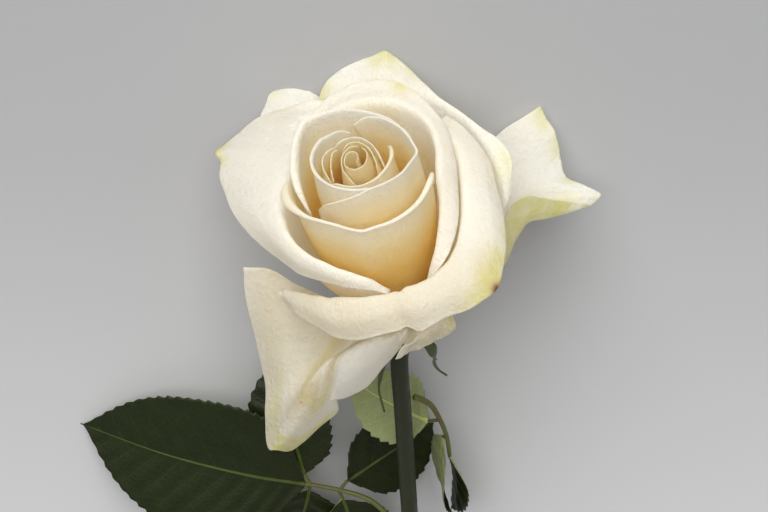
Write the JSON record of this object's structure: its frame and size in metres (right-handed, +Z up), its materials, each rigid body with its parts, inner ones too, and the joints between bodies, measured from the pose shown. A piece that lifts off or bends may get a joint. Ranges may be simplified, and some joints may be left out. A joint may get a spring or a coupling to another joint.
{
  "type": "cut rose",
  "caption": "Single cream garden rose in full bloom lying on its side, with loosely opened layered petals, sepals, a straight cut stem and compound leaves.",
  "frame": {"origin": "on the surface the rose lies on, under the middle of its bounding box", "axes": "+Y along the lying stem towards the bloom, +Z up from the surface, +X towards the side away from the larger leaf"},
  "size_m": [0.1618, 0.304, 0.077],
  "materials": {
    "petal": "matte",
    "stem": "satin",
    "sepal": "matte",
    "leaf": "satin",
    "leaf_stalk": "satin"
  },
  "bodies": {
    "root": {"stem": "stem", "petal_01_heart": "petal", "petal_02": "petal", "petal_03": "petal", "petal_04": "petal", "petal_05": "petal", "petal_06": "petal", "petal_07": "petal", "petal_08": "petal", "petal_09": "petal", "petal_10": "petal", "petal_11": "petal", "petal_12": "petal", "petal_13": "petal", "petal_14": "petal", "petal_15": "petal", "petal_16": "petal", "petal_17": "petal", "petal_18": "petal", "petal_19": "petal", "petal_20": "petal", "sepal_1": "sepal", "sepal_2": "sepal", "sepal_3": "sepal", "sepal_4": "sepal", "sepal_5": "sepal", "leaf_a_stalk": "leaf_stalk", "leaf_a_leaflet_1": "leaf", "leaf_a_leaflet_2": "leaf", "leaf_a_leaflet_3": "leaf", "leaf_a_leaflet_4": "leaf", "leaf_a_leaflet_5": "leaf", "leaf_b_stalk": "leaf_stalk", "leaf_b_leaflet_1": "leaf", "leaf_b_leaflet_2": "leaf", "leaf_b_leaflet_3": "leaf"}
  },
  "joints": []
}
